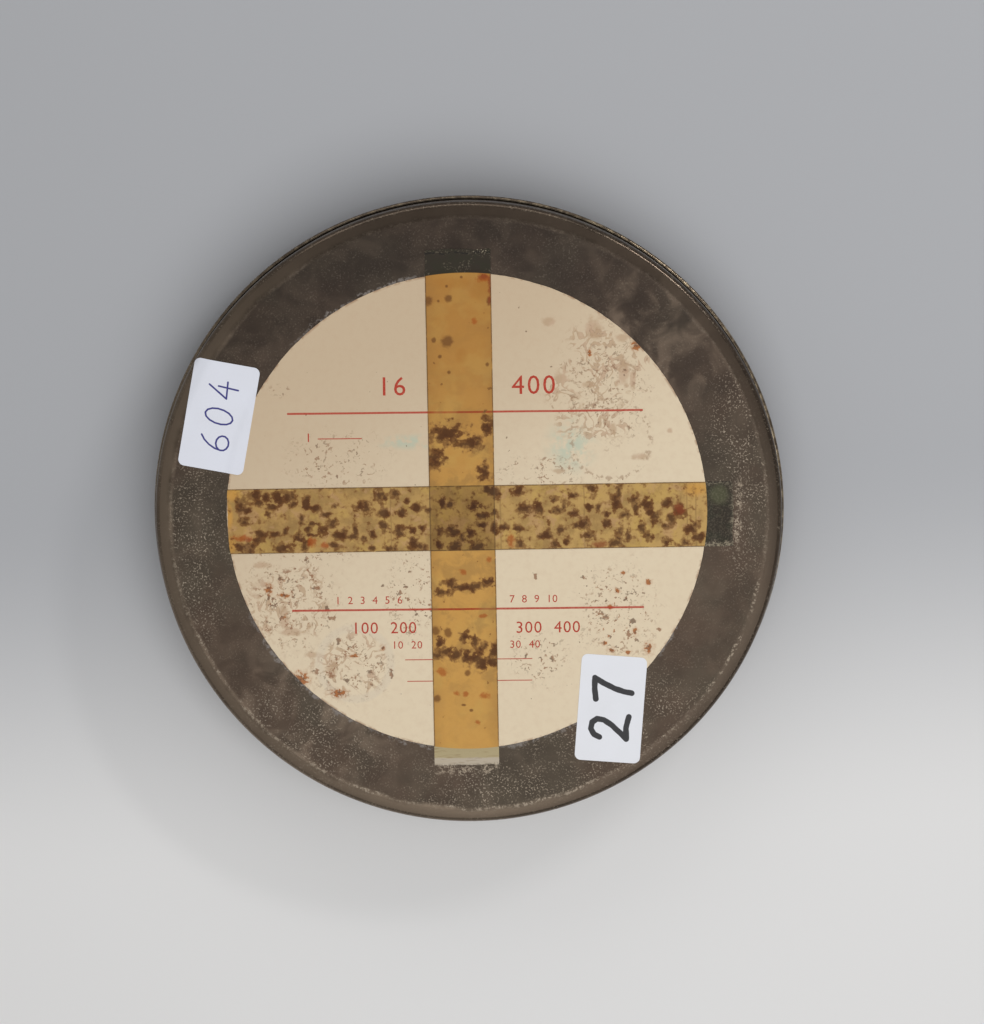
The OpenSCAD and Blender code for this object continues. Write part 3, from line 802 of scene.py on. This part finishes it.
def blotched(point, paint, places, clear):  # ragged blotches; clear: how few flecks lie between them
    lump = 0.55 + (point.noise(0.5, 3, 0.6) - 0.5) * 0.75 + (1 - nearest(point, places).least(clear)) * 0.16
    mould = point.noise(0.5, 2).fade(0.42, 0.58).mix(paint.look["purple"], paint.look["brown"])
    paint.coat(lump.fade(0.42, 0.53) * 0.55, "rim")
    paint.coat(lump.fade(0.5, 0.55) * (0.48 + point.noise(0.3, 2).fade(0.4, 0.6) * 0.42), mould)
    paint.coat(lump.fade(0.57, 0.66) * 0.7, "core")


def dirtyEdge(point, paint, inside):  # inside: distance in from the long edges
    dirty = (1 - inside.fade(0.12, 0.5)) * point.noise(0.35, 3, 0.6).fade(0.28, 0.5)
    paint.coat(dirty * 0.8, "edge")


def acrossColour(point, look):
    x, y = point.xyz()[:2]
    paint = Paint(paperTone(point, labelLook).tinted(look["amberAcross"]), look)
    paint.coat(point.noise(0.15, 4, 0.65).fade(0.42, 0.66) * 0.5, "crease")
    paint.coat(point.noise(0.17, 3, 0.6).fade(0.5, 0.64) * 0.45, "yellow")
    paint.coat(point.noise(0.23, 4, 0.6, 0.5).fade(0.53, 0.64) * 0.5, "pink")
    for place in look["creases"]:
        line = 1 - abs(x - place + (point.noise(0.2, 2) - 0.5) * 0.8).fade(0.08, 0.3)
        paint.coat(line * 0.4, "crease")
    rough = point.noise(0.7, 3, 0.62)
    paint.coat(field(point, look["acrossGolden"], 0.3, 1.3) * 0.6, "golden")
    blotched(point, paint, look["acrossRagged"], 1.8)
    for stain, share in (("Orange", 0.75), ("Russet", 0.7)):
        stained = blobs(point, look["across" + stain], (rough - 0.5) * 2.6, 0.3, 1.4)
        paint.coat(stained * share, stain.lower())
    dirtyEdge(point, paint, acrossForm["width"] / 2 - abs(y - acrossForm["middle"]))
    # the end that lies on the tin, rubbed through along its border
    green = Paint(point.noise(0.18, 3, 0.6).fade(0.42, 0.6).mix(look["olive"], look["green"]), look)
    green.coat(field(point, look["greener"]) * 0.75, "moss")
    ragged = (point.noise(0.3, 3, 0.6) - 0.5) * 3
    border = (x + ragged).fade(*look["endBorder"]).most((y + ragged).fade(-8.2, -9.2))
    border = border.most((y + ragged).fade(7.4, 8.8) * 0.5)
    rubbed = threads(point, 1.3, 0.05, 0.14).most(point.noise(1.7, 2).fade(0.54, 0.62) * 0.7) * (0.16 + border * 0.84)
    green.coat(border * 0.7, "bare")
    line = (1 - abs(y - look["endLine"]).fade(0.1, 0.3)) * (1 - x.fade(*look["endLineStop"]))
    green.coat(line * 0.85, "line")
    green.coat(rubbed * 0.85, "fray")
    return fromLabel(point).fade(-0.1, 0.1).mix(paint.colour, green.colour)


def downColour(point, look):
    x, y = point.xyz()[:2]
    printed = ruled(point, paperTone(point, labelLook), labelLook["mainRules"], labelLook)
    paint = Paint(printed.tinted(look["amberDown"]), look)
    side = abs(x - downForm["middle"]) + (point.noise(0.12, 3) - 0.5) * 6
    paint.coat(side.fade(5, 11) * 0.35, "rim")
    rough = (point.noise(0.6, 3, 0.65) - 0.5) * 2.2
    paint.coat(point.noise(0.1, 3, 0.6).fade(0.48, 0.64) * 0.3, "yellow")
    clean = y.fade(20, 40) + y.fade(-46, -54)
    paint.coat(point.noise(0.16, 4, 0.65, 0.4).fade(0.44, 0.64) * (0.34 - clean * 0.22), "crease")
    paint.coat(y.fade(10, 66) * 0.3, "honey")
    paint.coat(field(point, look["downHoney"], 0.4, 1.2) * 0.35, "honey")
    paint.coat(blobs(point, look["downOrange"], rough, 0.3, 1.25) * 0.68, "orange")
    paint.coat(blobs(point, look["downRound"], rough * 0.5, 0.5, 1.2) * 0.8, "brown")
    paint.coat(blobs(point, look["downRusset"], rough, 0.3, 1.3) * 0.75, "russet")
    blotched(point, paint, look["downRagged"], 2.7)
    paint.coat(point.noise(0.5, 2, 0.6).fade(0.70, 0.73) * 0.6, "brown")
    onTape = acrossForm["width"] / 2 - abs(y - acrossForm["middle"])
    paint.coat(onTape.fade(-0.1, 0.1), acrossColour(point, look).tinted(look["second"]))
    dirtyEdge(point, paint, downForm["width"] / 2 - abs(x - downForm["middle"]))
    # the two ends that lie on the tin
    wave = (point.noise(0.25, 2) - 0.5) * 1.5
    torn = 1 - abs(y - look["topTear"] + wave).fade(0.25, 1.0)
    topEnd = Paint((point.noise(0.3, 3, 0.6).fade(0.4, 0.65) * 0.6).mix(look["olive"], look["green"]), look)
    patchy = point.noise(0.22, 3, 0.6).fade(0.5, 0.62)
    topEnd.coat(threads(point, 1.2, 0.04, 0.14) * (patchy * 0.35 + torn * (0.3 + patchy)) * 0.6, "fray")
    line = (1 - abs(y - look["topLine"] + wave).fade(0.12, 0.4)) * point.noise(0.6, 2).fade(0.36, 0.5)
    topEnd.coat(line * 0.85, "line")
    strands = point.stretched(0.25, 2.0, 1.0).noise(0.8, 3, 0.6)
    lowEnd = Paint(look["band"], look)
    lowEnd.coat((y + wave * 0.5).fade(*look["lowBand"]) * (0.5 + strands * 0.6), "fibre")
    lowEnd.coat(strands.fade(0.56, 0.66) * 0.35, "crease")
    frayed = (y + wave).fade(*look["lowFray"]) * point.noise(1.0, 2, 0.6).fade(0.42, 0.55)
    lowEnd.coat(frayed * 0.85, "bare")
    ends = y.fade(-1, 1).mix(lowEnd.colour, topEnd.colour)
    return fromLabel(point).fade(-0.1, 0.1).mix(paint.colour, ends)


def tapeMaterial(name, colouring, look):
    material, point = newMaterial(name, 0.13)
    return feed(material, Base_Color=colouring(point, look), Roughness=0.36 + point.noise(0.3, 3, 0.6) * 0.25,
                Normal=relief(point.noise(0.35, 3, 0.6), 0.06, 0.5))


def makeTape(name, form, upright, height, tear):  # tear: how far each end is torn back
    pick()
    bpy.ops.mesh.primitive_grid_add(x_subdivisions=220, y_subdivisions=40, size=2)
    piece = named(name)
    for corner in piece.data.vertices:
        along, side = (corner.co.x + 1) / 2, corner.co.y
        rough = []
        for seed, torn in zip((3.1, 8.7), tear):
            wide, fine = noise.noise(Vector((side * 2.2, seed, 0))), noise.noise(Vector((side * 11, seed, 5)))
            rough.append(max(0, (0.5 + 0.5 * wide + 0.3 * fine) * torn))
        start, end = form["start"] + rough[0], form["end"] - rough[1]
        run = start + (end - start) * along
        wave = 0.06 * noise.noise(Vector((run * 0.06, side * 3, 2)))
        aside = side * (form["width"] / 2 - trim) + wave
        if upright:
            corner.co.x, corner.co.y = (form["middle"] - aside) * mm, run * mm
        else:
            corner.co.x, corner.co.y = run * mm, (form["middle"] + aside) * mm
    drape(piece, height)
    thicken(piece, form["thick"])
    return piece


acrossTape = makeTape("tape_strip_across", acrossForm, False, paperHeight, (0.4, 1.0))
finish(acrossTape, "lid", tapeMaterial("amberTapeAcross", acrossColour, tapeLook), "amber_tape", "tape_across")
downTape = makeTape("tape_strip_down", downForm, True, tapedHeight, (0.6, 0.9))
finish(downTape, "lid", tapeMaterial("amberTapeDown", downColour, tapeLook), "amber_tape", "tape_down")
print("tapes laid")

# Stickers with plain numbers

digitStrokes = {  # each stroke runs through points of a box one unit high
    "0": [[(0.31 + 0.26 * cos(k * 0.44 + 1.4), 0.5 + 0.48 * sin(k * 0.44 + 1.6)) for k in range(16)]],
    "2": [[(0.05, 0.74), (0.11, 0.88), (0.25, 0.97), (0.42, 0.95), (0.52, 0.83), (0.5, 0.66), (0.38, 0.45),
           (0.2, 0.23), (0.04, 0.05), (0.32, 0.08), (0.62, 0.03)]],
    "4": [[(0.45, 1.0), (0.05, 0.35), (0.62, 0.39)], [(0.44, 0.68), (0.4, 0.0)]],
    "6": [[(0.5, 0.98), (0.34, 0.86), (0.2, 0.68), (0.1, 0.47)]
          + [(0.31 + 0.25 * cos(k * 0.5 + 3), 0.24 + 0.22 * sin(k * 0.5 + 3)) for k in range(13)]],
    "7": [[(0.03, 0.9), (0.3, 0.95), (0.58, 0.96), (0.46, 0.74), (0.34, 0.46), (0.27, 0.22), (0.24, 0.0)]],
}
stickerForm = {"width": 19.2, "length": 31.7, "corner": 1.8, "thick": 0.15, "trim": 0.04, "cut": 0.8}
dullPaper = ink(190, 188, 184)
leftSticker = {
    "name": "sticker_paper_left", "node": "sticker_left", "x": -71.76, "y": 30.31, "turn": 11.1,
    "number": "604", "digit": 8.5, "step": 7.6, "pen": 0.26, "ink": ink(44, 44, 118), "paper": ink(219, 221, 230),
}
rightSticker = {
    "name": "sticker_paper_right", "node": "sticker_right", "x": 40.64, "y": -57.61, "turn": 4.9,
    "number": "27", "digit": 11.5, "step": 11.5, "pen": 0.85, "ink": ink(26, 25, 28), "paper": ink(223, 224, 229),
}


def penStrokes(sheet):  # the number reads upward along the sticker
    turn = radians(-sheet["turn"])
    count = len(sheet["number"])
    pieces = []
    for k, digit in enumerate(sheet["number"]):
        for stroke in digitStrokes[digit]:
            path = []
            for along, up in stroke:
                u = (along - 0.3) * sheet["digit"] + (k - (count - 1) / 2) * sheet["step"]
                v = (up - 0.5) * sheet["digit"]
                px, py = -v, u
                path.append((sheet["x"] + px * cos(turn) - py * sin(turn),
                             sheet["y"] + px * sin(turn) + py * cos(turn)))
            pieces += list(zip(path, path[1:]))
    return pieces


def stickerMaterial(sheet):
    material, point = newMaterial(sheet["name"] + "Finish", 0.3)
    x, y = point.xyz()[:2]
    closest = None
    for start, end in penStrokes(sheet):
        runX, runY = end[0] - start[0], end[1] - start[1]
        fromX, fromY = x - start[0], y - start[1]
        share = (fromX * runX + fromY * runY) / (runX ** 2 + runY ** 2)
        share = share.most(0.0).least(1.0)
        offX, offY = fromX - share * runX, fromY - share * runY
        gap = offX * offX + offY * offY
        closest = gap if closest is None else closest.least(gap)
    wobble = (point.noise(0.5, 2) - 0.5) * 0.3 * sheet["pen"]
    inked = 1 - (closest.root() + wobble).fade(sheet["pen"] - 0.07, sheet["pen"] + 0.07)
    fibre = point.noise(2.5, 3, 0.6)
    paper = (point.noise(0.08, 2).fade(0.3, 0.7) * 0.08).mix(sheet["paper"], dullPaper)
    return feed(material, Base_Color=(inked * (0.97 + fibre * 0.03)).mix(paper, sheet["ink"]),
                Roughness=0.55 + fibre * 0.1 - inked * 0.12, Normal=relief(fibre, 0.02, 0.3))


def makeSticker(form, sheet):
    piece = newPlane(sheet["name"], form["width"] - form["trim"], form["length"] - form["trim"])
    bpy.ops.mesh.bevel(offset=form["corner"] * mm, segments=10, affect="VERTICES")
    for direction, size in (((1, 0, 0), form["width"]), ((0, 1, 0), form["length"])):  # cuts that let it bend
        cuts = int(size / form["cut"])
        for k in range(1, cuts):
            bpy.ops.mesh.select_all(action="SELECT")
            place = Vector(direction) * (k / cuts - 0.5) * size * mm
            bpy.ops.mesh.bisect(plane_co=place, plane_no=direction)
    bpy.ops.object.mode_set(mode="OBJECT")
    turn = Matrix.Rotation(radians(-sheet["turn"]), 4, "Z")
    piece.data.transform(Matrix.Translation((sheet["x"] * mm, sheet["y"] * mm, 0)) @ turn)
    drape(piece, paperHeight)
    thicken(piece, form["thick"])
    return piece


for sheet in (leftSticker, rightSticker):
    finish(makeSticker(stickerForm, sheet), "lid", stickerMaterial(sheet), "sticker_paper", sheet["node"])
print("stickers laid")

# Reel and film inside the can

reelLook = {
    "steel": ink(188, 188, 185),
    "dull": ink(164, 164, 161),
    "shine": ink(214, 214, 210),
    "rust": ink(120, 86, 58),
    "roughness": 0.46,
    "rimRun": (86.3, 87.6),
}
reelNodes = ("reel_flange_lower", "reel_flange_upper", "reel_hub",
             "spindle_plate_lower", "spindle_plate_upper", "hub_rivets")


def reelMaterial(look):
    material, point = newMaterial("reelSteel")
    radius = fromAxis(point)
    cloud = point.noise(0.08, 4, 0.6)
    turned = point.add("CombineXYZ", {}, {0: radius * 6.0, 1: cloud * 0.6, 2: point.xyz()[2] * 0.2})
    turned = turned.noise(0.8, 2, 0.6)
    paint = Paint(cloud.fade(0.35, 0.65).mix(look["dull"], look["steel"]), look)
    paint.coat(turned.fade(0.5, 0.7) * 0.3, "shine")
    scratches = threads(point, 0.5, 0.006, 0.02) * point.noise(0.07, 3).fade(0.46, 0.6)
    paint.coat(scratches * 0.6, "shine")
    rim = radius.fade(*look["rimRun"]) * point.noise(0.3, 4, 0.65).fade(0.42, 0.6)
    spots = point.noise(0.35, 3, 0.65, 0.4).fade(0.66, 0.72).most(rim * 0.8)
    paint.coat(spots * 0.75, "rust")
    dull = (turned - 0.5) * 0.15 + spots * 0.3 - scratches * 0.15
    return feed(material, Base_Color=paint.colour, Metallic=0.78 - spots * 0.6,
                Roughness=look["roughness"] + (cloud - 0.5) * 0.25 + dull,
                Normal=relief(turned * 0.6 + cloud * 0.4, 0.02, 0.4))


reelSteel = reelMaterial(reelLook)
for name in reelNodes:
    dress(nodes[name], reelSteel)

filmForm = {"inner": 31.8, "outer": 82.6, "low": 3.075, "high": 19.075, "turn": 0.42, "uneven": 0.05, "groove": 0.05}
filmLook = {"dark": ink(38, 32, 29), "edge": ink(92, 80, 68), "grey": ink(62, 58, 56)}


def makeFilm(form):
    count = int((form["outer"] - form["inner"]) / form["turn"])
    upper, lower = [], []
    for k in range(count + 1):
        radius = form["inner"] + (form["outer"] - form["inner"]) * k / count
        sunk = form["uneven"] * (0.5 + 0.5 * noise.noise(Vector((k * 0.37, 1.7, 0)))) + (form["groove"] if k % 2 else 0)
        upper.append((radius, form["high"] - sunk))
        lower.append((radius, form["low"] + sunk))
    return lathe("wound_film", upper + lower[::-1] + upper[:1], 180, 20)


def filmMaterial(look):
    material, point = newMaterial("filmEdge", 0.45)
    turns = point.add("CombineXYZ", {}, {0: fromAxis(point), 1: 0.0, 2: 0.0})
    fine = turns.noise(3.0, 2, 0.7)
    wide = turns.noise(0.16, 3, 0.6)
    paint = Paint(wide.fade(0.4, 0.65).mix(look["dark"], look["grey"]), look)
    paint.coat(fine.fade(0.5, 0.68) * 0.5, "edge")
    return feed(material, Base_Color=paint.colour, Roughness=0.32 + fine * 0.3, Normal=relief(fine, 0.06, 0.6))


finish(makeFilm(filmForm), "reel", filmMaterial(filmLook), "film", "film_roll")

leaderForm = {"inner": 82.65, "outer": 83.25, "low": 3.075, "high": 19.075, "ease": 0.08, "rings": (8, 14)}
leaderLook = {"base": ink(222, 218, 206), "shade": ink(211, 205, 190), "shine": 0.4, "grain": 0.8}
leaderTapeLook = {"base": ink(230, 222, 198), "shade": ink(206, 192, 158), "shine": 0.25, "grain": 2.4}


def makeLeader(form):
    ease = form["ease"]
    points = [(form["inner"], form["low"]), (form["outer"] - ease, form["low"])]
    points += arcPoints((form["outer"] - ease, form["low"] + ease), ease, -90, 0, 4)[1:]
    points += [(form["outer"], height) for height in form["rings"]]
    points += arcPoints((form["outer"] - ease, form["high"] - ease), ease, 0, 90, 4)
    points += [(form["inner"], form["high"]), (form["inner"], form["low"])]
    return lathe("white_leader", points, 256)


def plainMaterial(name, look):  # leader and its tape
    material, point = newMaterial(name, look["shine"])
    cloud = point.noise(0.1, 3, 0.6)
    fine = point.noise(look["grain"], 3, 0.6)
    return feed(material, Base_Color=(cloud * 0.6 + fine * 0.4).fade(0.35, 0.7).mix(look["base"], look["shade"]),
                Roughness=0.4 + fine * 0.25, Normal=relief(fine, 0.02, 0.4))


finish(makeLeader(leaderForm), "reel", plainMaterial("whiteLeader", leaderLook), "leader", "film_leader")
dress(nodes["leader_tape"], plainMaterial("leaderTapePaper", leaderTapeLook))
print("reel and film finished")

# Floor, light and background

floorLook = {"near": ink(220, 219, 218), "far": ink(171, 172, 175), "from": -110.0, "to": 10.0, "size": 8, "below": 0.2}
lamps = (  # name, place, size, power
    ("softbox", (0.15, -0.27, 0.84), (0.85, 0.85), 5.1),
    ("backFill", (-0.1, 0.85, 0.45), (0.9, 0.35), 1.6),
    ("rimStrip", (0.55, 0.60, 0.50), (0.26, 0.06), 1.6),
)
worldLight = {"Color": (0.98, 0.99, 1.0, 1.0), "Strength": 0.34}


def makeFloor(look):
    pick()
    bpy.ops.mesh.primitive_plane_add(size=look["size"], location=(0, 0, -look["below"] * mm))
    floor = named("floor")
    material, point = newMaterial("floorPaper", 0.2, 0.8)
    x, y = point.xyz()[:2]
    tone = (y - x * 0.05).fade(look["from"], look["to"]).mix(look["near"], look["far"])
    dress(floor, feed(material, Base_Color=tone))


def addLamp(name, place, size, power):
    bpy.ops.object.light_add(type="AREA", location=place)
    lamp = named(name)
    lamp.data.shape = "RECTANGLE"
    lamp.data.size, lamp.data.size_y = size
    lamp.data.energy = power
    lamp.rotation_euler = (-Vector(place)).to_track_quat("-Z", "Y").to_euler()


makeFloor(floorLook)
for settings in lamps:
    addLamp(*settings)

world = bpy.data.worlds.new("studio")
world.use_nodes = True
for socket, given in worldLight.items():
    world.node_tree.nodes["Background"].inputs[socket].default_value = given
bpy.context.scene.world = world
bpy.context.scene.view_settings.view_transform = "Standard"
print("stage lit")
